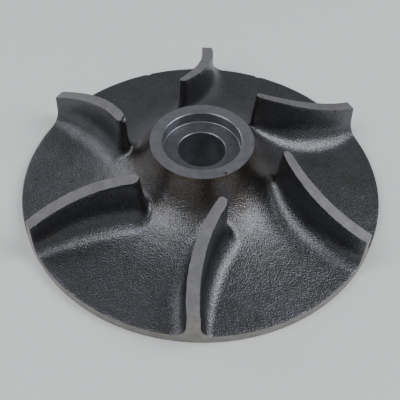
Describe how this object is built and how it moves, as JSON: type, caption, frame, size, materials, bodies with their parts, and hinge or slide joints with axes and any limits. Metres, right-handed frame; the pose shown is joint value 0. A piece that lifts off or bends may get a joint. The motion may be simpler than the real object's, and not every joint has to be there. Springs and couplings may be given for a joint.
{
  "type": "pump impeller",
  "caption": "Semi-open centrifugal pump impeller in cast iron: a disc with a flared hub, a recessed bore and curved vanes on one side.",
  "frame": {"origin": "on the bore axis, at the flat back face of the disc", "axes": "+Z along the bore axis towards the vanes and the hub face; -Y towards the outer end of one vane"},
  "size_m": [0.124, 0.124, 0.0271],
  "materials": {
    "cast_iron": "dark sand-cast skin, with satin turned faces on the rim, vane tops, hub and bore"
  },
  "bodies": {
    "root": {"impeller_casting": "cast_iron"}
  },
  "joints": []
}
